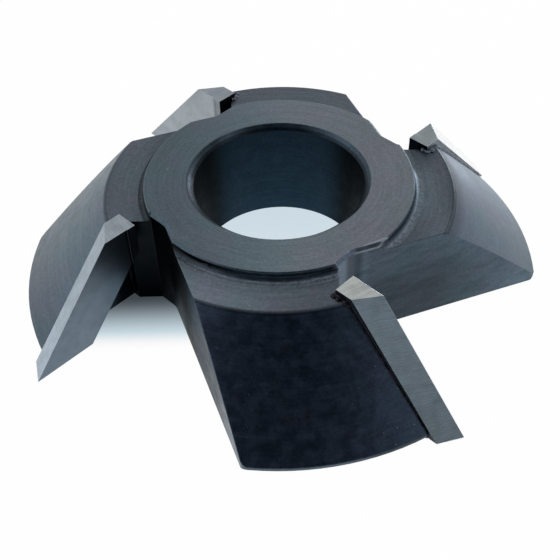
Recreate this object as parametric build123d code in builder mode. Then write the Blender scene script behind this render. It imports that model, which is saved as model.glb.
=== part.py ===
from build123d import *
import os
from math import cos, radians, sin, sqrt

# Cutting circle, bore and height, in millimetres
cutting_diameter = 100.0
small_end_cutting_diameter = 65.0
bore_diameter = 30.0
overall_height = 20.0
tooth_count = 4

# Turned body, set back inside the circles that the tips cut
rim_set_back = 3.0
rim_height = 1.1
rim_edge_break = 0.5
land_set_back = 2.0
land_width = 6.85
hub_ring_height = 1.6
hub_foot_radius = 0.9
bore_chamfer = 1.0
turned_edge_break = 0.2

# Gullets: angles are degrees in plan, and the offset is a distance from the bore axis
rake_face_angle = -45.0
rake_offset = 9.3
gullet_cut_into_ring = 1.9
gullet_floor_length = 3.76
gullet_corner_radius = 2.4
gullet_edge_break = 0.5
trailing_face_angle = -70.6
wing_corner_radius = 1.6

# Carbide tips
tip_thickness = 4.0
tip_rise = 1.1
tip_floor_clearance = 3.2
tip_foot_width = 11.5
tip_relief = 1.4
tip_end_backing = 1.45
unground_strip_width = 1.6
face_grind_depth = 0.1

# Braze between each tip's back and its wing
braze_gap = 0.2
braze_bead_radius = 0.8

# Sizes worked out from those above
bore_radius = bore_diameter / 2
rim_radius = cutting_diameter / 2 - rim_set_back
land_radius = small_end_cutting_diameter / 2 - land_set_back
land_height = overall_height - hub_ring_height
hub_ring_radius = land_radius - land_width
gullet_floor = hub_ring_radius - gullet_cut_into_ring
tip_inner_end = gullet_floor + tip_floor_clearance
tip_height = land_height + tip_rise
seat_offset = rake_offset + tip_thickness + braze_gap
seat_end = tip_inner_end - braze_gap
backing_start = seat_offset - tip_end_backing
floor_start = backing_start - (seat_end - gullet_floor)
floor_end = floor_start - gullet_floor_length
tooth_pitch = 360.0 / tooth_count
next_trailing_angle = trailing_face_angle + tooth_pitch
beyond_the_rim = cutting_diameter


def plan_point(angle, along, across):
    """Point in plan, a distance along a direction and another across it to the left."""
    turned = Vector(along, across).rotate(Axis.Z, angle)
    return (turned.X, turned.Y)


def reach(radius, offset):
    """Length along a line that passes the axis at this offset, out to this radius."""
    return sqrt(radius**2 - offset**2)


# The seat backs part of the tip's inner end, then a wall runs in at 45 degrees to the gullet's floor,
# which is square to the rake face and ends on the next wing's trailing face
turn = radians(next_trailing_angle - rake_face_angle)
trailing_offset = gullet_floor * sin(turn) + floor_end * cos(turn)
floor_corner = plan_point(rake_face_angle, gullet_floor, -floor_end)
trailing_corner = plan_point(trailing_face_angle, reach(rim_radius, trailing_offset), -trailing_offset)
gullet_outline = [
    plan_point(rake_face_angle, beyond_the_rim, -seat_offset),
    plan_point(rake_face_angle, seat_end, -seat_offset),
    plan_point(rake_face_angle, seat_end, -backing_start),
    plan_point(rake_face_angle, gullet_floor, -floor_start),
    floor_corner,
    plan_point(next_trailing_angle, beyond_the_rim, -trailing_offset),
]

# Turned blank: bore, hub ring, land, cone and rim
with BuildPart() as blank:
    with BuildSketch(Plane.XZ):
        Polygon(
            (bore_radius, 0),
            (rim_radius, 0),
            (rim_radius, rim_height),
            (land_radius, land_height),
            (hub_ring_radius, land_height),
            (hub_ring_radius, overall_height),
            (bore_radius, overall_height),
            align=None,
        )
    revolve(axis=Axis.Z)
    circles = blank.edges().filter_by(GeomType.CIRCLE).sort_by(SortBy.RADIUS)
    bore_foot, bore_mouth = circles[:2].sort_by(Axis.Z)
    rim_foot = circles.filter_by_position(Axis.Z, 0, 0)[-1]
    ring_edge = circles.filter_by_position(Axis.Z, overall_height, overall_height)[-1]
    ring_foot, land_edge = circles.filter_by_position(Axis.Z, land_height, land_height)
    chamfer(bore_mouth, bore_chamfer)
    chamfer(rim_foot, rim_edge_break)
    chamfer([bore_foot, ring_edge, land_edge], turned_edge_break)
    fillet(ring_foot, hub_foot_radius)

# Cutter body: the blank milled down to its wings by the gullets, whose top edges are broken
with BuildPart() as cutter_body:
    with BuildSketch() as plan:
        Circle(rim_radius)
        with PolarLocations(0, tooth_count):
            Polygon(*gullet_outline, align=None, mode=Mode.SUBTRACT)
        for tooth in range(tooth_count):
            rim_end = Vector(*trailing_corner).rotate(Axis.Z, tooth * tooth_pitch)
            fillet(plan.vertices().sort_by_distance(rim_end)[0], wing_corner_radius)
            inner_corner = Vector(*floor_corner).rotate(Axis.Z, tooth * tooth_pitch)
            fillet(plan.vertices().sort_by_distance(inner_corner)[0], gullet_corner_radius)
    extrude(amount=overall_height)
    chamfer(cutter_body.faces().sort_by(Axis.Z)[-1].edges(), gullet_edge_break)
    add(blank.part, mode=Mode.INTERSECT)

os.makedirs("parts", exist_ok=True)
cutter_body.part.label = "cutter_body"
export_step(cutter_body.part, "parts/cutter_body.step")

# Each tip is a plate drawn on its rake face, as reach from the axis and height
tip_top_reach = reach(small_end_cutting_diameter / 2, rake_offset)
tip_foot_reach = reach(cutting_diameter / 2, rake_offset)
tip_run_per_height = (tip_foot_reach - tip_top_reach) / tip_height
tip_foot_inner_end = tip_foot_reach - tip_foot_width
tip_end_foot_height = (tip_foot_inner_end - tip_inner_end) / tip_run_per_height


def tip_outline(offset, relief):
    """Corners of the plate at this offset from the axis, its cutting circles drawn in by the relief."""
    return [
        (tip_inner_end, tip_height),
        (tip_inner_end, tip_end_foot_height),
        (tip_foot_inner_end, 0),
        (reach(cutting_diameter / 2 - relief, offset), 0),
        (reach(small_end_cutting_diameter / 2 - relief, offset), tip_height),
    ]


back_offset = rake_offset + tip_thickness
rake_outline = tip_outline(rake_offset, 0)
back_outline = tip_outline(back_offset, tip_relief)

# Length of the land that lies behind the tip, which the bead of braze runs along
bead_length = reach(land_radius, seat_offset) - tip_inner_end
strip_end = tip_inner_end + unground_strip_width
strip_foot_height = tip_end_foot_height - unground_strip_width / tip_run_per_height

for tooth in range(tooth_count):
    wing_plane = Plane.XZ.rotated((0, 0, rake_face_angle + tooth * tooth_pitch))
    rake_plane = wing_plane.offset(rake_offset)
    back_plane = rake_plane.offset(tip_thickness)
    seat_plane = back_plane.offset(braze_gap)

    # Carbide tip: narrower at its back, with a strip at the hub end that the face grinding left
    with BuildPart() as carbide_tip:
        with BuildSketch(rake_plane):
            Polygon(*rake_outline, align=None)
        with BuildSketch(back_plane):
            Polygon(*back_outline, align=None)
        loft(ruled=True)
        with BuildSketch(rake_plane):
            Polygon(
                (tip_inner_end, tip_height),
                (tip_inner_end, tip_end_foot_height),
                (strip_end, strip_foot_height),
                (strip_end, tip_height),
                align=None,
            )
        extrude(amount=-face_grind_depth)
    carbide_tip.part.label = f"carbide_tip_{tooth + 1}"
    export_step(carbide_tip.part, f"parts/{carbide_tip.part.label}.step")

    # Braze seam: the film behind the tip and round its inner end, trimmed to the wing
    with BuildPart() as braze_film:
        with BuildSketch(back_plane):
            Polygon(*back_outline, align=None)
        extrude(amount=braze_gap)
        with BuildSketch(seat_plane):
            with Locations((tip_inner_end, tip_end_foot_height)):
                Rectangle(braze_gap, tip_height - tip_end_foot_height, align=(Align.MAX, Align.MIN))
        extrude(amount=-tip_end_backing)
        add(blank.part, mode=Mode.INTERSECT)

    # Braze seam: the bead in the corner between the tip and the land, a quarter of a round-ended rod
    bead_centre = back_plane.from_local_coords((tip_inner_end + bead_length / 2, land_height))
    bead_plane = Plane(bead_centre, x_dir=back_plane.x_dir, z_dir=Vector(0, 0, 1))
    with BuildPart() as braze_seam:
        with BuildSketch(bead_plane):
            SlotOverall(bead_length, 2 * braze_bead_radius)
            split(bisect_by=Plane.XZ)
        revolve(axis=Axis(bead_plane.origin, -bead_plane.x_dir), revolution_arc=90)
        add(braze_film.part)
    braze_seam.part.label = f"braze_seam_{tooth + 1}"
    export_step(braze_seam.part, f"parts/{braze_seam.part.label}.step")
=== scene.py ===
# %% [markdown]
# A cutter head for chamfering the edge of a board. It is a turned steel body with four wings, and each
# wing carries a plate of carbide brazed to its front. The CAD model gives every one of those shapes, so
# this lesson starts by loading it as a frame. The work here is the finish of each surface, the uneven
# braze that a torch leaves, the light and the camera.

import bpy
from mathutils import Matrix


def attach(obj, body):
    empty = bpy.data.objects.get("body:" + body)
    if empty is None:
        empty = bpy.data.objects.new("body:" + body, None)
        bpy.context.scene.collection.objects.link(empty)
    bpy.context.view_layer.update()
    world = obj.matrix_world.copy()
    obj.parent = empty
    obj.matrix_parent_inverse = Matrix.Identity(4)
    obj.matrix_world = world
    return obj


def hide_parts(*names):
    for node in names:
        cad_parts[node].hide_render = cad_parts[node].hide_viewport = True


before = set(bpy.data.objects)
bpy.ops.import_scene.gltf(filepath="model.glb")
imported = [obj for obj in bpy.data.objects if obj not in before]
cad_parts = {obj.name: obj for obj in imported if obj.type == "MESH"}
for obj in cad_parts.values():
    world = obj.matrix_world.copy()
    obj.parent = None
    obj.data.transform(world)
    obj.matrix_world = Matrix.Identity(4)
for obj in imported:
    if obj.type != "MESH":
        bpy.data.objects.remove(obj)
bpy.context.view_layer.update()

import math
from types import SimpleNamespace

import bmesh
import bpy
from mathutils import Matrix, Vector, noise

# %% [markdown]
# The camera looks down at the head at about 45 degrees from a hand's width away, so near wings look
# larger than far ones. A camera can be turned by rotation angles, or its matrix can be built from three
# directions: to its right, up, and back from the object. The matrix is used here because the small roll
# and the sideways shift of the aim are then plain sums.

# %% Camera
MM = 0.001
IMAGE_SIDE = 560
FOCAL_PIXELS = 888.6
SENSOR_WIDTH = 36.0
ELEVATION = math.radians(45.494)
ROLL = math.radians(-1.407)
DISTANCE = 161.949 * MM
AIM_HEIGHT = 10.0 * MM
AIM_SHIFT_RIGHT = -0.002 * MM
AIM_SHIFT_UP = 10.947 * MM


def make_camera():
    """The camera that looks at the head as the photograph does."""
    back = Vector((0.0, -math.cos(ELEVATION), math.sin(ELEVATION)))
    level_right = Vector((1.0, 0.0, 0.0))
    level_up = back.cross(level_right)
    right = math.cos(ROLL) * level_right + math.sin(ROLL) * level_up
    up = math.cos(ROLL) * level_up - math.sin(ROLL) * level_right
    centre = Vector((0.0, 0.0, AIM_HEIGHT))
    place = centre + DISTANCE * back - AIM_SHIFT_RIGHT * right - AIM_SHIFT_UP * up
    data = bpy.data.cameras.new("photo_camera")
    data.sensor_width = SENSOR_WIDTH
    data.lens = FOCAL_PIXELS * SENSOR_WIDTH / IMAGE_SIDE
    data.clip_start = 0.001
    camera = bpy.data.objects.new("photo_camera", data)
    camera.matrix_world = Matrix.Translation(place) @ Matrix((right, up, back)).transposed().to_4x4()
    bpy.context.scene.collection.objects.link(camera)
    bpy.context.scene.camera = camera
    print("lens in millimetres:", round(data.lens, 2))


make_camera()

# %% [markdown]
# Each finish below is a tree of shader nodes. Written out node by node, such trees are long and hard to
# read, so one small class wraps an output socket and lets Python's own operators add the Math nodes. The
# masks are made with two of its methods. map() goes smoothly from one value to another between two
# limits, and rises() is the same from 0 to 1.

# %% Shader maths
class Wave:
    """One value in a shader tree, which takes part in sums as a number does."""

    def __init__(self, tree, socket):
        self.tree = tree
        self.socket = socket

    def maths(self, operation, *values):
        """A Math node of this operation on these values."""
        step = self.tree.nodes.new("ShaderNodeMath")
        step.operation = operation
        for socket, value in zip(step.inputs, values):
            plug(self.tree, socket, value)
        return Wave(self.tree, step.outputs[0])

    def __add__(self, other):
        return self.maths("ADD", self, other)

    def __sub__(self, other):
        return self.maths("SUBTRACT", self, other)

    def __rsub__(self, other):
        return self.maths("SUBTRACT", other, self)

    def __mul__(self, other):
        return self.maths("MULTIPLY", self, other)

    def __truediv__(self, other):
        return self.maths("DIVIDE", self, other)

    def __pow__(self, other):
        return self.maths("POWER", self, other)

    __radd__ = __add__
    __rmul__ = __mul__

    def at_least(self, other):
        """The larger of this value and another."""
        return self.maths("MAXIMUM", self, other)

    def size(self):
        """The value without its sign."""
        return self.maths("ABSOLUTE", self)

    def sine(self):
        """The sine of the value, in radians."""
        return self.maths("SINE", self)

    def map(self, low, high, at_low, at_high):
        """A smooth climb or fall from one value at low to another at high, level beyond both."""
        step = self.tree.nodes.new("ShaderNodeMapRange")
        step.interpolation_type = "SMOOTHSTEP"
        for socket, value in zip(step.inputs, (self, low, high, at_low, at_high)):
            plug(self.tree, socket, value)
        return Wave(self.tree, step.outputs[0])

    def rises(self, low, high):
        """0 below low, 1 above high and a smooth climb between them. Works the other way if low is above."""
        return self.map(low, high, 0.0, 1.0)

    def beside(self, name):
        """Another output of the node that this value comes from."""
        return Wave(self.tree, self.socket.node.outputs[name])


def plug(tree, socket, value):
    """Link a wave into a socket, or set the socket to a plain value."""
    if isinstance(value, Wave):
        tree.links.new(value.socket, socket)
    elif isinstance(value, tuple) and len(value) == 3 and len(socket.default_value) == 4:
        socket.default_value = (*value, 1.0)
    else:
        socket.default_value = value


print("shader maths ready")

# %% [markdown]
# Everything that isn't a sum comes from one method, node(), which takes the type of a node, its settings
# and the values of its sockets. The short methods after it name the few nodes that come back all the
# time. Colours go through Mix nodes here, because a Math node would turn them grey.

# %% Shader trees
class Shading:
    """A tree of shader nodes and the one method that adds a node to it."""

    def __init__(self, tree):
        self.tree = tree

    def node(self, kind, settings=None, values=None, out=0):
        """Add a node, set its settings and then the values or links of its sockets."""
        made = self.tree.nodes.new(kind)
        for name, value in (settings or {}).items():
            setattr(made, name, value)
        for name, value in (values or {}).items():
            plug(self.tree, made.inputs[name], value)
        return Wave(self.tree, made.outputs[out])

    def scaled(self, vector, factors):
        """A vector with each of its parts times a factor of its own."""
        return self.node("ShaderNodeVectorMath", {"operation": "MULTIPLY"}, {0: vector, 1: factors})

    def between(self, operation, first, second):
        """One value from two vectors, such as their distance or their dot product."""
        settings = {"operation": operation}
        return self.node("ShaderNodeVectorMath", settings, {0: first, 1: second}, out="Value")

    def parts(self, vector):
        """The three parts of a vector."""
        split = self.node("ShaderNodeSeparateXYZ", None, {0: vector})
        return [split.beside(axis) for axis in "XYZ"]

    def joined(self, x, y, z):
        """A vector from its three parts."""
        return self.node("ShaderNodeCombineXYZ", None, {0: x, 1: y, 2: z})

    def clouds(self, vector, scale, detail, roughness=0.5):
        """Cloudy noise around 0.5. detail adds finer clouds, and roughness says how strong those are."""
        settings = {"noise_dimensions": "3D", "normalize": True}
        values = {"Vector": vector, "Scale": scale, "Detail": detail, "Roughness": roughness}
        return self.node("ShaderNodeTexNoise", settings, values)

    def tinted(self, share, first, second):
        """A colour, first where share is 0 and second where it is 1."""
        settings = {"data_type": "RGBA", "blend_type": "MIX"}
        return self.node("ShaderNodeMix", settings, {0: share, 6: first, 7: second}, out=2)

    def multiplied(self, share, colour, tint):
        """A colour times a tint, as far as share says."""
        settings = {"data_type": "RGBA", "blend_type": "MULTIPLY"}
        return self.node("ShaderNodeMix", settings, {0: share, 6: colour, 7: tint}, out=2)

    def shaded(self, colour, amount):
        """A colour made darker or lighter by a grey amount."""
        return self.multiplied(1.0, colour, self.joined(amount, amount, amount))


print("shader trees ready")

# %% [markdown]
# A finish is one material. Its marks are placed in millimetres on the part itself, so that a mark stays
# the same size wherever it lies. Sharp CAD edges would catch no light, so the bump starts from a Bevel
# node, which rounds them a little.

# %% Finish of a piece
class Finish(Shading):
    """A material and the tree that feeds its shader."""

    def __init__(self, name, **constants):
        self.material = bpy.data.materials.new(name)
        self.material.use_nodes = True
        super().__init__(self.material.node_tree)
        self.shader = self.tree.nodes["Principled BSDF"]
        self.feed(**constants)
        self.place = self.scaled(self.node("ShaderNodeTexCoord", out="Object"), (1 / MM, 1 / MM, 1 / MM))

    def feed(self, **values):
        """Set or link sockets of the shader, such as base_color for Base Color."""
        for socket, value in values.items():
            plug(self.tree, self.shader.inputs[socket.replace("_", " ").title()], value)

    def bumped(self, height, depth, rounded):
        """Feed the normal from a height from 0 to 1 for this depth in metres, on edges of this radius."""
        values = {"Strength": 1.0, "Distance": depth, "Height": height}
        values["Normal"] = self.node("ShaderNodeBevel", {"samples": 6}, {"Radius": rounded})
        self.feed(normal=self.node("ShaderNodeBump", None, values))


print("finishes can be made")

# %% [markdown]
# The photograph was taken on white, with soft light from the back and both sides and a dark room behind
# the camera. That darkness is why the near wing is almost black. A dome of world light can hold all of
# this: bright all round, with one dark patch where the camera stands. Rays from the camera see plain
# white instead of the dome.

# %% Dome of light
WHITE = (1.0, 1.0, 1.0)
DARK_PATCH = Vector((0.0, -0.72, 0.70)).normalized()
PATCH_EDGE = (0.42, 0.86)
DOME_LIGHT = (0.89, 0.96, 1.04)
PATCH_LIGHT = (0.012, 0.022, 0.040)


def make_dome():
    """World light, bright but for a dark patch behind the camera."""
    world = bpy.data.worlds.new("studio_dome")
    world.use_nodes = True
    bpy.context.scene.world = world
    sky = Shading(world.node_tree)
    toward_patch = sky.between("DOT_PRODUCT", sky.node("ShaderNodeTexCoord", out="Generated"), DARK_PATCH)
    light = sky.tinted(toward_patch.rises(*PATCH_EDGE), DOME_LIGHT, PATCH_LIGHT)
    seen = sky.tinted(sky.node("ShaderNodeLightPath", out="Is Camera Ray"), light, WHITE)
    background = sky.tree.nodes["Background"]
    plug(sky.tree, background.inputs["Color"], seen)
    plug(sky.tree, background.inputs["Strength"], 1.0)


make_dome()
print("dome ready")

# %% [markdown]
# The dome alone leaves the backs of the wings flat. One low, wide lamp behind the head draws the light
# along the right wing and gives the shadow on the floor its direction. Its colour is a little blue, as
# daylight from a window is.

# %% Lamp
LAMP_PLACE = (250, 380, 55)
LAMP_SIZE = (190, 90)
LAMP_WATTS = 0.58
LAMP_COLOUR = (0.84, 0.96, 1.10)


def make_lamp(name, place, size, watts, colour):
    """A soft lamp that faces the head. place and size are in millimetres."""
    data = bpy.data.lights.new(name, "AREA")
    data.shape = "RECTANGLE"
    data.size = size[0] * MM
    data.size_y = size[1] * MM
    data.energy = watts
    data.color = colour
    lamp = bpy.data.objects.new(name, data)
    lamp.location = Vector(place) * MM
    toward = Vector((0.0, 0.0, AIM_HEIGHT)) - lamp.location
    lamp.rotation_mode = "QUATERNION"
    lamp.rotation_quaternion = toward.to_track_quat("-Z", "Y")
    bpy.context.scene.collection.objects.link(lamp)


make_lamp("low_back_lamp", LAMP_PLACE, LAMP_SIZE, LAMP_WATTS, LAMP_COLOUR)
print("lamp ready")

# %% [markdown]
# The floor is a sheet of white board. A board that is lit like the object would render as light grey,
# so part of its surface glows for the rays that the camera or a reflection sends, with a strength of 1
# for white. The rest is plain diffuse board, and that share keeps the shadow. The glow is set by place,
# and where it is weak it is painted shadow: weakest under the head and between the wings, weaker in the
# bore, and full from the rim outwards. The painted shadow between the wings is tinted a little blue, as
# shade that only the dome lights would be.

# %% Floor
FLOOR_SIDE = 3.0
# The glow shares below paint the floor's shadow by place, and the shade tint is the blue of that painted
# shadow.
BORE_GLOW = 0.76
GULLET_GLOW = 0.06
OPEN_GLOW = 0.985
SHADE_TINT = (0.76, 0.91, 1.0)
SHADE_DEPTH = (9.0, 22.0)
UNDER_BORE = (16.0, 19.0)
PAST_THE_RIM = (36.0, 47.0)


def radius_of(x, y):
    """Distance from the head's axis."""
    return (x * x + y * y) ** 0.5


def glow_with_painted_shadow(paint):
    """The share of the board that glows, set by place as painted shadow: weak under the head, full around
    it, and bright in the bore.
    """
    x, y = paint.parts(paint.place)[:2]
    radius = radius_of(x, y)
    front = (x.at_least(0.0) * 0.6 - y).rises(*SHADE_DEPTH)
    behind = y.rises(2.0, 10.0) * radius.rises(19.0, 24.0)
    lit = front.at_least(behind).at_least(radius.rises(*PAST_THE_RIM))
    glow = (lit * (OPEN_GLOW - GULLET_GLOW) + GULLET_GLOW) * radius.rises(*UNDER_BORE)
    return glow + radius.rises(*UNDER_BORE[::-1]) * BORE_GLOW


def board_paint():
    """White paint that glows for the camera and for reflections, with painted shadow where its glow is weak.
    """
    paint = Finish("white_board", base_color=(0.98, 0.98, 0.98), roughness=1.0)
    camera_ray = paint.node("ShaderNodeLightPath", out="Is Camera Ray")
    seen = camera_ray.at_least(camera_ray.beside("Is Glossy Ray"))
    seen = seen.at_least(camera_ray.beside("Is Transmission Ray"))
    share = glow_with_painted_shadow(paint)
    tint = paint.tinted(share.rises(0.70, 0.97), SHADE_TINT, WHITE)
    glow = paint.node("ShaderNodeEmission", None, {"Color": tint, "Strength": 1.0})
    surface = Wave(paint.tree, paint.shader.outputs[0])
    both = paint.node("ShaderNodeMixShader", None, {0: seen * share, 1: surface, 2: glow})
    plug(paint.tree, paint.tree.nodes["Material Output"].inputs["Surface"], both)
    return paint.material


def make_floor():
    """White board under the head."""
    mesh = bpy.data.meshes.new("floor_board")
    corner = FLOOR_SIDE / 2
    corners = [(-corner, -corner, 0), (corner, -corner, 0), (corner, corner, 0), (-corner, corner, 0)]
    mesh.from_pydata(corners, [], [(0, 1, 2, 3)])
    mesh.materials.append(board_paint())
    board = bpy.data.objects.new("floor_board", mesh)
    bpy.context.scene.collection.objects.link(board)


make_floor()
print("floor ready")

# %% [markdown]
# A CAD node already has a material slot from the record. Its finish is changed by filling that slot. The
# finishes are placed by the head's own sizes, which are named here once, in millimetres.

# %% Sizes and slots
BORE_RADIUS = 15.0
MOUTH_RADIUS = BORE_RADIUS + 1.0
LAND_RADIUS = 30.5
LAND_HEIGHT = 18.4
RIM_RADIUS = 47.0
RIM_HEIGHT = 1.1
RING_FOOT = (24.3, 25.6)
TOOTH_COUNT = 4
FIRST_RAKE = math.radians(-45)
GULLET_CORNER = (21.75, 5.29)
TIP_INNER_END = 24.95
TIP_BACK = 13.3
TIP_FOOT_INNER_END = 37.6
TIP_END_FOOT = 13.74


def rake_direction(number):
    """The angle in plan at which this tip's rake face points outwards. Tips count from 1."""
    return FIRST_RAKE + (number - 1) * math.tau / TOOTH_COUNT


def turned_back(x, y, turn):
    """A place or direction in plan along this angle and, to its right, across it."""
    return x * math.cos(turn) + y * math.sin(turn), x * math.sin(turn) - y * math.cos(turn)


def assign(material, *nodes):
    """Put one material on these CAD nodes."""
    for name in nodes:
        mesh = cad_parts[name].data
        mesh.materials.clear()
        mesh.materials.append(material)


print("nodes to finish:", sorted(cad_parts))

# %% [markdown]
# Both metals carry small marks: specks of dust and pits, fine scratches, and edges that are rubbed
# bright. Specks come from a Voronoi texture, which has one point in each cell of space, so none of them
# touch. Scratches are the thin line along which a stretched noise crosses its middle value. An edge is
# found with a Bevel node, whose normal differs from the plain one only near an edge.

# %% Small marks
def facing(finish):
    """The three parts of the surface's own direction."""
    return finish.parts(finish.node("ShaderNodeTexCoord", out="Normal"))


def specks(finish, place, cell, size, share):
    """Small round spots: one in each cell of this size in millimetres, kept in this share of the cells."""
    settings = {"feature": "F1", "voronoi_dimensions": "3D"}
    spots = finish.node("ShaderNodeTexVoronoi", settings, {"Vector": place, "Scale": 1 / cell})
    chance = spots.beside("Color")
    return spots.rises(size / cell, 0.4 * size / cell) * chance.rises(1 - share, 1.02 - share)


def scratches(finish, stretch, width):
    """Thin lines along the middle value of a stretched noise."""
    line = (finish.clouds(finish.scaled(finish.place, stretch), 1.0, 1.0) - 0.5).size()
    return line.rises(width, 0.2 * width)


def worn_edges(finish, reach_in, low, high):
    """Where the surface bends within this distance in millimetres."""
    rounded = finish.node("ShaderNodeBevel", {"samples": 6}, {"Radius": reach_in * MM})
    plain = finish.node("ShaderNodeNewGeometry", out="Normal")
    return (1 - finish.between("DOT_PRODUCT", rounded, plain)).rises(low, high)


print("small marks ready")

# %% [markdown]
# The body is steel that was turned, milled and then blackened in a hot bath. Its finish differs from one
# face to the next, so the first step is to tell the faces apart. A node could be split into materials
# face by face, but then each border would be hard. Here the faces are masks made from the height, the
# distance from the axis and the direction of the surface, and every border is as soft as it should be.

# %% Faces of the body
class BodyFaces:
    """Where a point lies on the body, in millimetres, and how far it belongs to each kind of face."""

    def __init__(self, steel):
        self.x, self.y, self.z = steel.parts(steel.place)
        self.radius = radius_of(self.x, self.y)
        up = facing(steel)[2]
        flat = up.rises(0.90, 0.97)
        self.walls = up.size().rises(0.40, 0.20)
        self.cone = up.rises(0.45, 0.60) * up.rises(0.90, 0.80)
        self.land = flat * self.z.rises(19.4, 19.0)
        self.ring = flat * self.z.rises(19.4, 19.6)
        self.bore = self.walls * self.radius.rises(BORE_RADIUS + 0.8, BORE_RADIUS + 0.4)
        self.milled = self.walls * (1 - self.bore)
        self.front_wall = self.milled * self.x.rises(-5.0, -8.0) * self.y.rises(-16.0, -20.0)


def steel_noises(steel, body):
    """The noises that the steel's colour, gloss and relief share."""
    x, y, radius = body.x, body.y, body.radius
    turned = steel.joined(x / radius * 3, y / radius * 3, (radius - body.z) * 3)
    return SimpleNamespace(
        fine_turns=steel.clouds(turned, 1.2, 5.0, 0.65),
        broad_turns=steel.clouds(turned, 0.5, 2.0, 0.5),
        drift=steel.clouds(steel.place, 0.11, 4.0, 0.6),
        mottle=steel.clouds(steel.place, 0.5, 4.0, 0.6),
        grain=steel.clouds(steel.place, 2.2, 3.0, 0.7),
        smears=steel.clouds(steel.scaled(steel.place, (0.16, 0.16, 0.60)), 1.0, 5.0, 0.6),
    )


print("faces of the body ready")

# %% [markdown]
# On turned steel the marks run round the axis. They could be drawn from the angle round the axis, but an
# angle jumps where the circle closes. The direction from the axis has no such seam, so the noise above is
# stretched over that direction and over the distance along the turned profile.
#
# The oxide isn't equally dark all over, but the tones below are mostly painted light and shade. Each
# function gives the tone of one face as a factor on the oxide's colour. These factors were set by
# comparing each face with the photograph, so they hold the light and shade that the face caught there,
# and in other light a face can look too dark or too light.

# %% Painted light and shade of the turned faces
def mouth_shade(body):
    """The chamfer at the bore's mouth and the break at its outer edge, darkened as painted shade, both
    darker at the left.
    """
    radius, z = body.radius, body.z
    left = body.x.rises(-8.0, -12.0)
    chamfer = radius.rises(MOUTH_RADIUS + 0.2, MOUTH_RADIUS) * z.rises(18.8, 19.0) * (1 - body.bore)
    outer_edge = (radius - MOUTH_RADIUS).size().rises(0.45, 0.20) * z.rises(19.0, 19.3)
    return (1 - chamfer * (left * 0.60 + 0.12)) * (1 - outer_edge * left * 0.20)


def bore_side_shade(body):
    """The bore, whose two sides are darkened as painted shade for the dark of its own far wall that they
    mirror.
    """
    return 1 - body.bore * (body.x * body.x).rises(60.0, 170.0) * 0.92


def ring_light_and_shade(body):
    """The hub ring, painted darker at its left and lighter at its right as painted light and shade."""
    return 1 + body.ring * body.x.map(-20.0, 6.0, -0.20, 0.30)


def foot_shade(body):
    """Painted shade in the hollow at the ring's foot, dark all round and darkest at the left."""
    under_ring = body.z.rises(19.6, 19.3) * (1 - body.walls)
    hollow = body.radius.rises(RING_FOOT[0], RING_FOOT[0] - 0.4) * body.z.rises(18.7, 18.95)
    left = body.radius.rises(24.9, 24.5) * body.x.rises(-10.0, -17.0)
    return (1 - under_ring * hollow * 0.6) * (1 - under_ring * left * 0.72)


def land_light_and_shade(body):
    """Painted light and shade on the land: darker than the ring but least so at its front, its back and its
    outer sides.
    """
    x, y = body.x, body.y
    middle_right = y.rises(-18.0, -8.0) * y.rises(8.0, -1.0) * x.rises(30.0, 26.5)
    right = x.rises(20.0, 25.0) * (middle_right * 0.26 + 0.15)
    left = x.rises(-18.0, -27.0) * 0.42
    front = y.rises(-8.0, -27.0) * 0.62
    back = y.rises(10.0, 22.0) * 0.36
    from_left = y.rises(-18.0, -24.0) * x.map(-14.0, 8.0, 0.30, -0.26)
    return (1 - body.land * (0.56 - right - left - front - back)) * (1 + body.land * from_left)


def land_edge_shade(body):
    """Painted shade on the broken edge of the land, a dark line that is darkest at the right."""
    line = (body.radius - LAND_RADIUS).size().rises(0.50, 0.20) * body.z.rises(17.9, 18.1)
    return 1 - line * (body.x.rises(15.0, 24.0) * body.y.rises(-16.0, -4.0) * 0.40 + 0.35)


def cone_light_and_shade(body):
    """Painted light and shade on the cone: lighter on the left wing, darker on the front one and at the top
    of the right one.
    """
    left = body.x.rises(-18.0, -28.0) * body.z.map(3.0, 10.0, -0.02, 0.20)
    front = body.y.rises(-24.0, -32.0) * 0.28
    right_top = body.x.rises(10.0, 16.0) * body.radius.rises(33.5, 30.8) * 0.45
    return (1 + body.cone * left) * (1 - body.cone * front) * (1 - body.cone * right_top)


print("tones of the turned faces ready")

# %% [markdown]
# The gullets were milled. Their walls get painted shade deep inside and in the rounded inner corners,
# and painted light towards the rim.

# %% Painted light and shade of the gullets
def corner_shade(body):
    """Painted shade in the rounded inner corners of the four gullets."""
    shade = 0.0
    out, back = GULLET_CORNER
    for number in range(1, TOOTH_COUNT + 1):
        corner_x, corner_y = turned_back(out, back, rake_direction(number))
        away = radius_of(body.x - corner_x, body.y - corner_y)
        shade = away.rises(2.3, 0.9) + shade
    return shade * body.walls * body.radius.rises(19.0, 20.0)


def wall_light_and_shade(body):
    """Painted light and shade on the walls that face the camera, from the gullet's floor out to the rim."""
    x, radius = body.x, body.radius
    near_walls = body.milled * body.y.rises(4.0, 0.0)
    outwards = x.rises(24.0, 42.0) * 0.48 + x.rises(39.5, 44.0) * 0.25 - x.rises(12.0, 15.0) * 0.53
    upwards = body.z.map(7.0, 17.0, -0.06, 0.26) * x.rises(40.0, 34.0)
    front = 1 - body.front_wall * (0.60 - radius.rises(37.0, 44.0) * 0.52)
    return front * (1 + near_walls * (outwards + upwards))


def gullet_shade(body):
    """Painted shade in the left gullet, which is almost black inside, and in the inner corners of all four.
    """
    reach_in = body.radius - (body.y + 15.0).rises(0.0, 3.0) * 4.0
    left_gullet_shade = body.milled * reach_in.rises(30.0, 26.0) * body.x.rises(-7.0, -12.0)
    return (1 - left_gullet_shade * 0.95) * (1 - corner_shade(body) * 0.60)


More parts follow.
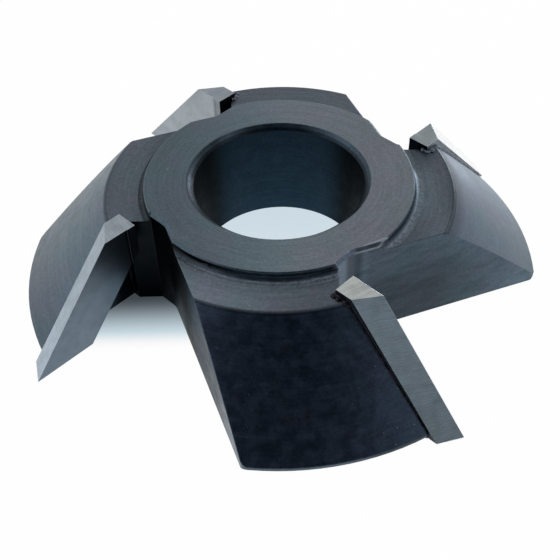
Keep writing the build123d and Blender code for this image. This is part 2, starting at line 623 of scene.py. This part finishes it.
def steel_light_and_shade(body):
    """How light the oxide is over the body, without its grain: the painted light and shade of each face."""
    turned = mouth_shade(body) * bore_side_shade(body) * ring_light_and_shade(body) * foot_shade(body) * land_light_and_shade(body)
    return turned * land_edge_shade(body) * cone_light_and_shade(body) * wall_light_and_shade(body) * gullet_shade(body)


print("tones of the gullets ready")

# %% [markdown]
# The oxide is thin, so its colour drifts between a violet and a teal black. The tints are painted
# reflection: they add some of the blue that each face mirrors in the photograph. They are factors, with
# 1 for no change. The bore's colour is painted shade, darker and bluer than the oxide.

# %% Colour of the oxide
TEAL_BLACK = (0.096, 0.116, 0.127)
VIOLET_BLACK = (0.108, 0.112, 0.130)
# The bore's painted shade, darker and bluer than the oxide.
BORE_SHADE_COLOUR = (0.031, 0.062, 0.090)
# The tints below are painted reflection.
LEFT_CONE_REFLECTION_TINT = (0.88, 1.04, 1.11)
RIGHT_CONE_REFLECTION_TINT = (0.95, 1.11, 1.24)
FRONT_CONE_REFLECTION_TINT = (0.92, 1.10, 1.36)
LEFT_RING_REFLECTION_TINT = (0.98, 1.08, 1.06)
RIGHT_RING_REFLECTION_TINT = (1.04, 0.96, 0.90)
WALL_REFLECTION_TINT = (0.80, 1.05, 1.20)
FRONT_WALL_REFLECTION_TINT = (0.62, 1.05, 1.42)


def oxide_colour(steel, body, noises):
    """The black of each face, with painted reflection tints and the painted shade of the bore."""
    oxide = steel.tinted(noises.drift.rises(0.38, 0.62), TEAL_BLACK, VIOLET_BLACK)
    cone_tint = steel.tinted(body.x.rises(-4.0, 8.0), LEFT_CONE_REFLECTION_TINT, RIGHT_CONE_REFLECTION_TINT)
    cone_tint = steel.tinted(body.y.rises(-22.0, -30.0), cone_tint, FRONT_CONE_REFLECTION_TINT)
    wall_tint = steel.tinted(body.front_wall, WALL_REFLECTION_TINT, FRONT_WALL_REFLECTION_TINT)
    ring_tint = steel.tinted(body.x.rises(-16.0, 16.0), LEFT_RING_REFLECTION_TINT, RIGHT_RING_REFLECTION_TINT)
    oxide = steel.multiplied(body.cone, oxide, cone_tint)
    oxide = steel.multiplied(body.walls, oxide, wall_tint)
    oxide = steel.multiplied(body.ring, oxide, ring_tint)
    return steel.tinted(body.bore, oxide, BORE_SHADE_COLOUR)


def oxide_amount(body, noises):
    """Grain, mottle and turning marks of the oxide, times the painted light and shade of each face."""
    clouds = noises.mottle.map(0.25, 0.75, 0.92, 1.08) * noises.grain.map(0.25, 0.75, 0.84, 1.16)
    turns = noises.broad_turns.map(0.3, 0.7, 0.95, 1.05) * noises.fine_turns.map(0.3, 0.7, 0.90, 1.10)
    smears = 1 - body.milled * noises.smears.map(0.30, 0.60, 0.22, -0.04)
    return clouds * turns * smears * steel_light_and_shade(body)


print("colour of the oxide ready")

# %% [markdown]
# Bare steel shows where chips and hands rub: along the edges and in streaks on the wall of the front
# wing. The same pale colour also paints highlights: on a patch of the right wing's cone near its tip,
# and in one bright crescent where the ring was broken beside the front gullet. On the foot of the hub
# ring it is bare steel with a painted highlight, strongest at the front right. Each function gives the
# share of that pale colour there.

# %% Wear of the steel
# The pale colour of bare steel, also used for the painted highlights.
WORN_STEEL_AND_HIGHLIGHT = (0.33, 0.37, 0.41)
CRESCENT_ANGLE = math.radians(19.4)
CRESCENT_EDGE = 21.9
CRESCENT_START = 4.6
HIGHLIGHT_PLACE = (33.0, 9.0, 15.0)


def foot_wear_and_highlight(body, noises):
    """Bare steel with a painted highlight on the foot of the hub ring, strongest at its front right."""
    inner, outer = RING_FOOT
    band = body.radius.rises(inner - 0.5, inner) * body.radius.rises(outer, outer - 0.9)
    height = body.z.rises(19.0, 18.75) * body.z.rises(LAND_HEIGHT - 0.3, LAND_HEIGHT - 0.1)
    front_right = body.x.map(-22.0, -8.0, 0.15, 1.0) * body.y.map(-14.0, -3.0, 1.0, 0.45)
    return band * height * (1 - body.walls) * noises.grain.map(0.35, 0.65, 0.08, 0.34) * front_right


def painted_highlight_patch(steel, body, noises):
    """A painted highlight on a patch of the right wing's cone, near its tip."""
    patch = steel.between("DISTANCE", steel.place, HIGHLIGHT_PLACE).rises(8.5, 2.0)
    return patch * noises.mottle.map(0.30, 0.70, 0.12, 0.34) * body.radius.rises(31.0, 33.0)


def brushed_wall(steel, body):
    """Level streaks on the wall of the front wing."""
    wall = body.walls * body.x.rises(-5.0, -8.0) * body.y.rises(-16.0, -22.0)
    streaks = steel.clouds(steel.scaled(steel.place, (0.3, 0.3, 2.4)), 1.0, 4.0, 0.7)
    return wall * body.radius.rises(28.0, 33.0) * streaks.map(0.42, 0.64, 0.0, 0.17)


def crescent_highlight(body, noises):
    """A painted highlight in the shape of a crescent on the ring, from the front gullet's inner corner
    outwards.
    """
    along, across = turned_back(body.x, body.y, CRESCENT_ANGLE)
    inner = across + along.map(CRESCENT_START, CRESCENT_START + 6.0, 0.45, 1.1)
    band = inner.rises(CRESCENT_EDGE - 0.1, CRESCENT_EDGE + 0.1) * body.z.rises(19.0, 19.4)
    start = along.rises(CRESCENT_START - 0.4, CRESCENT_START + 0.6)
    return band * start * noises.mottle.map(0.3, 0.7, 0.55, 1.0)


def rubbed_edges(steel, body, noises):
    """Every sharp edge outside the bore, the land's own edge the least."""
    land_edge = (body.radius - LAND_RADIUS).size().rises(0.8, 0.5) * body.z.rises(17.6, 17.9)
    edge = worn_edges(steel, 0.35, 0.02, 0.20) * noises.mottle.rises(0.30, 0.65) * 0.25
    return edge * (1 - land_edge * 0.9) * body.radius.rises(16.6, 17.2)


def dust(steel, body):
    """Light specks of three sizes, the finest only on the cone and mostly on the front wing."""
    coarse = specks(steel, steel.place, 3.2, 0.18, 0.20) + specks(steel, steel.place, 1.6, 0.13, 0.16)
    fine = specks(steel, steel.place, 0.9, 0.12, 0.30) * body.cone
    return coarse + fine * (body.y.rises(-24.0, -30.0) * 0.75 + 0.55)


print("wear of the steel ready")

# %% [markdown]
# The finish of the body puts the parts together: the oxide's colour and amount with the painted light
# and shade of each face, bare steel over it where it is worn and painted highlights in the same pale
# colour, gloss, and a relief of a hundredth of a millimetre from the turning marks and the pits. It is
# one metal with one shader, because oxide this thin still reflects like metal.

# %% Blackened steel
CRESCENT_SHARE = 0.6
DUST_SHARE = 0.7
SCRATCH_SHARE = 0.05
PIT_SHADE = 0.75
RELIEF_DEPTH = 0.010 * MM


def make_steel():
    """Blackened steel with its turning marks, mottled oxide, specks and worn edges, and the painted light
    and shade of its faces.
    """
    steel = Finish("blackened_steel", metallic=1.0)
    body = BodyFaces(steel)
    noises = steel_noises(steel, body)
    crescent = crescent_highlight(body, noises)
    pits = specks(steel, steel.scaled(steel.place, (1.0, 1.0, 1.3)), 3.7, 0.30, 0.35)
    pits = pits * (body.cone + body.walls * 0.7)
    hairs = scratches(steel, (0.35, 0.05, 0.3), 0.004) + scratches(steel, (0.06, 0.4, 0.3), 0.003)
    # The pale share holds bare steel from wear and the painted highlights on the ring's foot, the right
    # wing's patch and the crescent.
    rubbed_and_highlit = foot_wear_and_highlight(body, noises) + painted_highlight_patch(steel, body, noises) + brushed_wall(steel, body)
    marks = dust(steel, body) * DUST_SHARE + hairs * (1 - body.walls) * SCRATCH_SHARE
    bare_and_highlit = rubbed_and_highlit + rubbed_edges(steel, body, noises) + marks + crescent * CRESCENT_SHARE
    oxide = oxide_colour(steel, body, noises)
    oxide = steel.shaded(oxide, oxide_amount(body, noises) * (1 - pits * PIT_SHADE))
    steel.feed(base_color=steel.tinted(bare_and_highlit * (1 - body.bore), oxide, WORN_STEEL_AND_HIGHLIGHT))
    dull = body.front_wall * body.radius.map(30.0, 46.0, 0.17, -0.06)
    gloss = noises.mottle.map(0.3, 0.7, 0.36, 0.46)
    steel.feed(roughness=gloss + body.bore * 0.2 + dull - crescent * 0.08)
    turning = noises.fine_turns * (1 - body.walls) * 0.5
    milling = noises.smears * body.milled * 0.15
    steel.bumped(turning + milling + noises.grain * 0.3 - pits * 0.6, RELIEF_DEPTH, rounded=0.30 * MM)
    return steel.material


assign(make_steel(), "cutter_body")
print("blackened steel ready")

# %% [markdown]
# The tips are tungsten carbide, ground on three sides and left rough at the back. One material could be
# shared by all four, but each was ground by itself and each mirrors another side of the room. So each
# has colours of its own, and these are partly painted light and shade: the right tip's pale flank is a
# painted highlight, and the front tip's almost black back and the left tip's dark rake face and unground
# strip are painted shade. A paler band down the relieved back, where it stands proud of the cone, is a
# painted highlight. The ledge share is painted shade, a dark line on the edge of the strip that wasn't
# ground, and fade and lift are painted light and shade: how much darker or lighter a face gets from its
# foot to its top.

# %% Values of the four tips
TIPS = {
    1: SimpleNamespace(
        top=(0.395, 0.39, 0.35),
        flank=(0.325, 0.385, 0.42),
        rake=(0.34, 0.365, 0.39),
        back=(0.035, 0.040, 0.055),
        unground=(0.24, 0.26, 0.275),
        flank_fade=(0.10, -0.26),
        flank_roughness=0.60,
        rake_lift=0.0,
        ledge_shade=0.5,
        painted_back_highlight=0.9,
    ),
    2: SimpleNamespace(
        top=(0.225, 0.236, 0.232),
        flank=(0.82, 0.84, 0.85),
        rake=(0.34, 0.365, 0.39),
        back=(0.215, 0.25, 0.28),
        unground=(0.24, 0.26, 0.275),
        flank_fade=(0.0, 0.0),
        flank_roughness=0.16,
        rake_lift=0.0,
        ledge_shade=0.5,
        painted_back_highlight=0.0,
    ),
    3: SimpleNamespace(
        top=(0.255, 0.262, 0.268),
        flank=(0.38, 0.41, 0.425),
        rake=(0.325, 0.36, 0.39),
        back=(0.12, 0.12, 0.14),
        unground=(0.25, 0.275, 0.29),
        flank_fade=(0.0, 0.0),
        flank_roughness=0.50,
        rake_lift=-0.05,
        ledge_shade=0.3,
        painted_back_highlight=0.0,
    ),
    4: SimpleNamespace(
        top=(0.275, 0.29, 0.298),
        flank=(0.41, 0.468, 0.515),
        rake=(0.136, 0.176, 0.215),
        back=(0.12, 0.12, 0.14),
        unground=(0.035, 0.04, 0.05),
        flank_fade=(-0.08, 0.08),
        flank_roughness=0.50,
        rake_lift=-0.20,
        ledge_shade=0.97,
        painted_back_highlight=0.0,
    ),
}
# Dark soot and chips, also used for the painted shade on the tips.
SOOT_AND_SHADE = (0.022, 0.024, 0.030)
# The painted highlight down the back.
BACK_HIGHLIGHT_COLOUR = (0.07, 0.09, 0.12)
# The painted highlights on the tips' edges.
EDGE_HIGHLIGHT = (0.62, 0.64, 0.66)
GROUND_ROUGHNESS = 0.35
UNGROUND_END = 26.5
GRIND_STEP = 0.32
WING_LINE = (27.35, 1.021)
print("tips:", len(TIPS))

# %% [markdown]
# Each tip has axes of its own: outwards along its rake face, backwards from that face, and up. The faces
# are masks again. The stone moves across each face in its own direction, so each face has its own lines:
# fine and a little wavy across the flank, slanted on the top, and faint on the rake face. The step of the
# stone shows on the flank as a ripple, which is a sine over the height.

# %% Faces and grinding lines of a tip
class TipFaces:
    """Where a point lies on one tip, in millimetres, and how far it belongs to each face."""

    def __init__(self, tip, number):
        turn = rake_direction(number)
        x, y, self.z = tip.parts(tip.place)
        self.outwards, self.backwards = turned_back(x, y, turn)
        side_x, side_y, up = facing(tip)
        self.out_facing, back_facing = turned_back(side_x, side_y, turn)
        self.top = up.rises(0.80, 0.92)
        self.rake = back_facing.rises(-0.80, -0.92)
        self.back = back_facing.rises(0.80, 0.92)
        self.flank = (1 - self.top) * (1 - self.rake) * (1 - self.back)
        self.place = tip.joined(self.outwards, self.backwards + 50.0 * number, self.z)


def flank_lines(tip, faces, number):
    """Wavy lines across the flank, with the ripple of the stone's step."""
    waver = tip.clouds(faces.place, 0.35, 2.0)
    height = faces.z + waver * 1.1 + faces.backwards * 0.05
    across = tip.joined(faces.backwards * 0.25, 10.0 * number, height * 3.5)
    ripple = (height * (math.tau / GRIND_STEP)).sine()
    return tip.clouds(across, 1.0, 3.0, 0.6) * 0.6 + ripple * 0.09 + 0.2


def top_lines(tip, faces, number):
    """Slanted lines on the top."""
    along = faces.backwards * 0.97 - faces.outwards * 0.24
    across = faces.outwards * 0.97 + faces.backwards * 0.24
    slant = tip.joined(along * 0.25 + 5.0 * number, across * 2.4, faces.z)
    return tip.clouds(slant, 1.0, 4.0, 0.65)


def rake_lines(tip, faces, number):
    """Faint slanted lines on the rake face."""
    across = (faces.outwards + faces.z) * 2.2
    along = (faces.outwards - faces.z) * 0.10
    streaks = tip.clouds(tip.joined(across, along + 5.0 * number, 0.0), 1.0, 4.0, 0.6)
    return (streaks - 0.5) * 0.14 + 0.5


def ground_lines(tip, faces, grain, number):
    """The lines of every face in one height from 0 to 1. The back has only its grain."""
    lines = flank_lines(tip, faces, number) * faces.flank + rake_lines(tip, faces, number) * faces.rake
    return lines + top_lines(tip, faces, number) * faces.top + grain * faces.back


print("faces of a tip ready")

# %% [markdown]
# Colour goes on in layers: the ground faces, then painted shade over them on the side that faces the
# hub and on the ledge of the unground strip, and last painted highlights on the edges and the dark chips
# of later use. The flank and the rake face also get a slow change of tone from foot to top, which is
# painted reflection of what they mirror.

# %% Ground carbide
def face_colour(tip, faces, values, strip, amount):
    """The colour of each face with its lines and its painted light and shade from foot to top, before the
    painted shade and highlights.
    """
    colour = tip.tinted(faces.rake, values.flank, values.rake)
    colour = tip.tinted(faces.top, colour, values.top)
    colour = tip.tinted(strip * 0.8, colour, values.unground)
    colour = tip.tinted(faces.back, colour, values.back)
    colour = tip.shaded(colour, amount * (1 - faces.flank * faces.z.map(1.0, 19.0, *values.flank_fade)))
    return tip.shaded(colour, 1 + faces.rake * faces.z.map(6.0, 16.0, 0.0, values.rake_lift))


def painted_shade_share(faces, values):
    """Painted shade on the side that faces the hub and on the ledge where the ground face starts."""
    hub_side = faces.out_facing.rises(-0.30, -0.60)
    ledge = (faces.outwards - UNGROUND_END - 0.05).size().rises(0.50, 0.25) * (1 - faces.top)
    ledge = ledge * (faces.rake + faces.out_facing.rises(0.80, 0.90)) * faces.z.rises(3.0, 4.0)
    return (hub_side * faces.flank).at_least(ledge * values.ledge_shade)


def painted_back_highlight(faces):
    """A painted highlight: a band down the back, where it stands proud of the wing's cone."""
    proud = faces.outwards - WING_LINE[0] - (LAND_HEIGHT - faces.z) * WING_LINE[1]
    return faces.back * proud.rises(0.30, 0.55) * proud.rises(1.00, 0.75)


def edge_highlights(tip, faces, painted_shade):
    """Painted highlights on the ground edges away from the painted shade, brightest round the top."""
    open_faces = (1 - painted_shade) * (1 - faces.rake) * (1 - faces.back)
    return worn_edges(tip, 0.22, 0.02, 0.22) * open_faces * (faces.top * 0.35 + 0.35)


def make_carbide(number):
    """Ground carbide for one tip, with its painted light, shade and highlights."""
    values = TIPS[number]
    tip = Finish(f"ground_carbide_{number}", metallic=1.0)
    faces = TipFaces(tip, number)
    mottle = tip.clouds(faces.place, 0.45, 4.0, 0.6)
    grain = tip.clouds(faces.place, 6.0, 2.0, 0.6)
    lines = ground_lines(tip, faces, grain, number)
    amount = lines.map(0.25, 0.75, 0.84, 1.16) * mottle.map(0.25, 0.75, 0.90, 1.10)
    amount = amount * grain.map(0.2, 0.8, 0.94, 1.06)
    strip = faces.rake * faces.outwards.rises(UNGROUND_END + 0.15, UNGROUND_END - 0.15)
    painted_shade = painted_shade_share(faces, values)
    colour = face_colour(tip, faces, values, strip, amount)
    # Next come the painted highlight down the back, the rough back's dark mottles, the painted shade, the
    # painted edge highlights and the dark chips.
    colour = tip.tinted(painted_back_highlight(faces) * values.painted_back_highlight, colour, BACK_HIGHLIGHT_COLOUR)
    colour = tip.tinted(faces.back * mottle.rises(0.50, 0.36) * 0.35, colour, SOOT_AND_SHADE)
    colour = tip.tinted(painted_shade, colour, SOOT_AND_SHADE)
    colour = tip.tinted(edge_highlights(tip, faces, painted_shade), colour, EDGE_HIGHLIGHT)
    colour = tip.tinted(specks(tip, faces.place, 2.4, 0.16, 0.25) * 0.7, colour, SOOT_AND_SHADE)
    rough = faces.flank * (values.flank_roughness - GROUND_ROUGHNESS) + (faces.back + strip * 0.6) * 0.20
    rough = rough + lines.map(0.3, 0.7, -0.05, 0.05) + GROUND_ROUGHNESS
    tip.feed(base_color=colour, roughness=rough)
    tip.bumped(lines * 0.7 + grain * 0.3, 0.008 * MM, rounded=0.10 * MM)
    return tip.material


for number in TIPS:
    assign(make_carbide(number), f"carbide_tip_{number}")
print("carbide ready")

# %% [markdown]
# The tips are held by silver braze, which is melted into the joint with a torch. It fills a film behind
# each tip and freezes at its edge as an uneven rope, with lumps where it ran together. The CAD seam has
# the film and one smooth bead. Lumps could be carved by noise from that bead, but they would stay on its
# line. So a rope and a few lumps are made as loose meshes, and Remesh melts them into one skin, which is
# how the metal did it. This cell finds the course that the rope follows.

# %% Course of the braze
FILM_GAP = 0.2
FILM_LEG = 1.25
LEG_STEPS = 6
LAND_STEPS = 12
CONE_STEPS = 60


def wing_reach(height):
    """How far out the wing's cone lies at this height, along the film."""
    fall = (LAND_HEIGHT - height) / (LAND_HEIGHT - RIM_HEIGHT)
    radius = LAND_RADIUS + (RIM_RADIUS - LAND_RADIUS) * fall
    return math.sqrt(radius**2 - (TIP_BACK + FILM_GAP) ** 2)


def braze_course():
    """Points along the film's edge: round the tip's inner end, over the land and down the cone."""
    middle = TIP_BACK + FILM_GAP / 2
    leg = TIP_INNER_END - FILM_GAP / 2
    land_end = wing_reach(LAND_HEIGHT)
    course = []
    for step in range(LEG_STEPS):
        course.append(Vector((leg, middle - FILM_LEG * (1 - step / LEG_STEPS), LAND_HEIGHT)))
    for step in range(LAND_STEPS):
        course.append(Vector((leg + (land_end - leg) * step / LAND_STEPS, middle, LAND_HEIGHT)))
    for step in range(CONE_STEPS + 1):
        height = LAND_HEIGHT + (RIM_HEIGHT - LAND_HEIGHT) * step / CONE_STEPS
        course.append(Vector((wing_reach(height), middle, height)))
    return course


print("points along each film:", len(braze_course()))

# %% [markdown]
# The rope is a tube of rings along that course. Its thickness wanders with two noises, a slow one for
# swells and a quick one for ripples, and it is thicker on the land, where the braze could pool.

# %% Rope
ROPE_SIDES = 10
LAND_ROPE = {1: 0.40, 2: 0.34, 3: 0.36, 4: 0.34}
CONE_ROPE = {1: 0.14, 2: 0.40, 3: 0.20, 4: 0.15}
UNEVEN = {1: 0.25, 2: 0.50, 3: 0.5, 4: 0.4}


def rope_thickness(centre, number):
    """The rope's uneven thickness at this point of its course."""
    ripple = noise.noise(centre * 0.9 + Vector((7.0 * number, 0.0, 0.0)))
    ripple += 0.6 * noise.noise(centre * 2.6 + Vector((0.0, 7.0 * number, 0.0)))
    rope = LAND_ROPE if centre.z > LAND_HEIGHT - 0.5 else CONE_ROPE
    return rope[number] * (1 + UNEVEN[number] * ripple)


def rope_ring(made, centre, ahead, thick):
    """One ring of the tube, square to the way ahead."""
    side = ahead.cross(Vector((0.0, 0.0, 1.0)) if abs(ahead.y) < 0.1 else Vector((1.0, 0.0, 0.0)))
    side.normalize()
    lift = side.cross(ahead).normalized()
    ring = []
    for corner in range(ROPE_SIDES):
        angle = math.tau * corner / ROPE_SIDES
        ring.append(made.verts.new(centre + thick * (math.cos(angle) * side + math.sin(angle) * lift)))
    return ring


def add_rope(made, number):
    """A tube of uneven thickness along the film's edge."""
    course = braze_course()
    rings = []
    for place, centre in enumerate(course):
        ahead = course[min(place + 1, len(course) - 1)] - course[max(place - 1, 0)]
        rings.append(rope_ring(made, centre, ahead, rope_thickness(centre, number)))
    for near, far in zip(rings, rings[1:]):
        for corner in range(ROPE_SIDES):
            after = (corner + 1) % ROPE_SIDES
            made.faces.new((near[corner], near[after], far[after], far[corner]))
    made.faces.new(rings[0][::-1])
    made.faces.new(rings[-1])


print("sides of the rope:", ROPE_SIDES)

# %% [markdown]
# Where the lumps lie was read from the photograph for the three tips whose joint it shows. The hidden
# joint gets lumps of the same kind. Each is a ball, dented by noise and flattened, as a drop is that
# froze on steel. The voxel remesh then joins rope and lumps wherever they overlap, and a light smoothing
# takes the steps of the voxels away.

# %% Lumps and melting
VOXEL = 0.07
LUMP_HEIGHT = 0.62
DENT = 0.30
LUMPS = {
    1: ((25.0, 13.7, 0.56), (26.0, 13.8, 0.50), (27.1, 13.6, 0.42)),
    2: ((24.9, 13.5, 0.48), (25.7, 13.9, 0.56), (24.6, 12.6, 0.36), (26.6, 13.9, 0.46)),
    3: ((24.9, 13.5, 0.56), (25.6, 14.0, 0.70), (24.6, 12.8, 0.42), (26.4, 13.8, 0.50)),
    4: ((25.2, 13.8, 0.45), (26.4, 13.9, 0.52), (24.7, 12.9, 0.34), (27.2, 13.7, 0.34)),
}


def add_lump(made, outwards, backwards, size, number):
    """A flattened, dented ball of braze that lies on the land."""
    ball = bmesh.ops.create_icosphere(made, subdivisions=3, radius=1.0)["verts"]
    for vertex in ball:
        dent = 1 + DENT * noise.noise(vertex.co * 1.7 + Vector((3.0 * number, size, 0.0)))
        vertex.co = vertex.co * dent * size
        vertex.co.z *= LUMP_HEIGHT
        vertex.co += Vector((outwards, backwards, LAND_HEIGHT))


def melted(made, name):
    """The loose pieces melted into one skin by a voxel remesh."""
    bmesh.ops.recalc_face_normals(made, faces=made.faces)
    mesh = bpy.data.meshes.new(name)
    made.to_mesh(mesh)
    made.free()
    loose = bpy.data.objects.new(name, mesh)
    bpy.context.scene.collection.objects.link(loose)
    remesh = loose.modifiers.new("melt", "REMESH")
    remesh.mode = "VOXEL"
    remesh.voxel_size = VOXEL
    soften = loose.modifiers.new("soften", "SMOOTH")
    soften.factor = 0.5
    soften.iterations = 3
    skin = bpy.data.meshes.new_from_object(loose.evaluated_get(bpy.context.evaluated_depsgraph_get()))
    bpy.data.objects.remove(loose)
    return skin


print("lumps on each joint:", [len(lumps) for lumps in LUMPS.values()])

# %% [markdown]
# The piece holds the film as well, because it stands for the whole CAD seam. The film is two thin slabs:
# one behind the tip, whose outline follows the tip's foot and the wing's cone, and a short leg round the
# tip's inner end. Both are closed, so the mesh has no open edge. All of it is built along the first tip's
# axes and then turned to its own tip.

# %% Film
FILM_STEP = 4


def add_slab(made, outline, near, far):
    """A thin closed slab with this outline, given outwards and up, between two distances backwards."""
    front = [made.verts.new((out, near, height)) for out, height in outline]
    behind = [made.verts.new((out, far, height)) for out, height in outline]
    made.faces.new(front)
    made.faces.new(behind[::-1])
    for place in range(len(outline)):
        after = (place + 1) % len(outline)
        made.faces.new((front[place], behind[place], behind[after], front[after]))


def add_film(made):
    """The film behind the tip and its leg round the tip's inner end."""
    down_the_cone = braze_course()[LEG_STEPS + LAND_STEPS :: FILM_STEP]
    edge = [(point.x, point.z) for point in down_the_cone]
    outline = [(edge[-1][0], 0.0), *edge[::-1], (TIP_INNER_END, LAND_HEIGHT)]
    outline += [(TIP_INNER_END, TIP_END_FOOT), (TIP_FOOT_INNER_END, 0.0)]
    add_slab(made, outline, TIP_BACK, TIP_BACK + FILM_GAP)
    leg_end = TIP_INNER_END - FILM_GAP
    leg = [(leg_end, TIP_END_FOOT), (TIP_INNER_END, TIP_END_FOOT)]
    leg += [(TIP_INNER_END, LAND_HEIGHT), (leg_end, LAND_HEIGHT)]
    add_slab(made, leg, TIP_BACK - FILM_LEG, TIP_BACK + FILM_GAP)


def on_tip(point, number):
    """A point given outwards, backwards and up from one tip's axes, in millimetres, as a place in metres."""
    x, y = turned_back(point.x, point.y, rake_direction(number))
    return Vector((x, y, point.z)) * MM


print("points along the film's edge:", CONE_STEPS // FILM_STEP + 1)

# %% [markdown]
# Silver braze is pale, but a torch leaves a scale of oxide and burnt flux on it. The scale breaks up in
# clouds, so the colour is a mix of the two by noise with a fairly hard step. Each joint has two colours
# of its own, which also hold painted light and shade: the braze of the front joint is almost black,
# painted shade, and that of the right and back joints is pale, painted light.

# %% Braze finish
# Each joint's two colours also hold its painted light and shade: near black at the front, pale at the right
# and back.
BARE_BRAZE = {
    1: (0.050, 0.046, 0.052),
    2: (0.14, 0.16, 0.18),
    3: (0.155, 0.150, 0.180),
    4: (0.12, 0.12, 0.13),
}
BURNT_BRAZE = {
    1: (0.010, 0.009, 0.013),
    2: (0.14, 0.145, 0.16),
    3: (0.085, 0.08, 0.10),
    4: (0.03, 0.03, 0.035),
}


def make_braze(number):
    """Silver braze of one tip under a broken scale of oxide and burnt flux."""
    braze = Finish(f"silver_braze_{number}", metallic=1.0)
    scale = braze.clouds(braze.place, 1.1, 4.0, 0.6)
    grain = braze.clouds(braze.place, 5.0, 3.0, 0.6)
    pits = specks(braze, braze.place, 0.9, 0.10, 0.4)
    colour = braze.tinted(scale.rises(0.44, 0.60), BARE_BRAZE[number], BURNT_BRAZE[number])
    colour = braze.shaded(colour, grain.map(0.2, 0.8, 0.75, 1.25) * (1 - pits * 0.7))
    braze.feed(base_color=colour, roughness=scale.map(0.4, 0.6, 0.50, 0.66))
    braze.bumped(grain * 0.6 + scale * 0.4, 0.02 * MM, rounded=0.10 * MM)
    return braze.material


print("braze finish ready")

# %% [markdown]
# Each run of braze is now put together and takes the place of the CAD seam of its joint. It rides on the
# same body as the seam did. Small four-sided faces belong to the melted skin and are shaded smooth, and
# the large flat ones of the film stay flat.

# %% Braze runs
SMOOTH_FACE_SIDE = 3 * VOXEL * MM


def braze_skin(number):
    """The mesh of one tip's braze, in its place on the head."""
    made = bmesh.new()
    add_rope(made, number)
    for outwards, backwards, size in LUMPS[number]:
        add_lump(made, outwards, backwards, size, number)
    skin = melted(made, f"braze_run_{number}")
    made = bmesh.new()
    made.from_mesh(skin)
    add_film(made)
    for vertex in made.verts:
        vertex.co = on_tip(vertex.co, number)
    bmesh.ops.recalc_face_normals(made, faces=made.faces)
    for face in made.faces:
        face.smooth = len(face.verts) == 4 and face.calc_area() < SMOOTH_FACE_SIDE**2
    made.to_mesh(skin)
    made.free()
    return skin


def braze_run(number):
    """The braze of one tip: its film, its rope and its lumps."""
    skin = braze_skin(number)
    skin.materials.append(make_braze(number))
    run = bpy.data.objects.new(f"braze_run_{number}", skin)
    bpy.context.scene.collection.objects.link(run)
    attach(run, "root")
    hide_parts(f"braze_seam_{number}")
    return len(skin.polygons)


print("faces of the braze runs:", [braze_run(number) for number in TIPS])

# %% [markdown]
# The last cell sets the plain view transform.

# %% View transform
bpy.context.scene.view_settings.view_transform = "Standard"
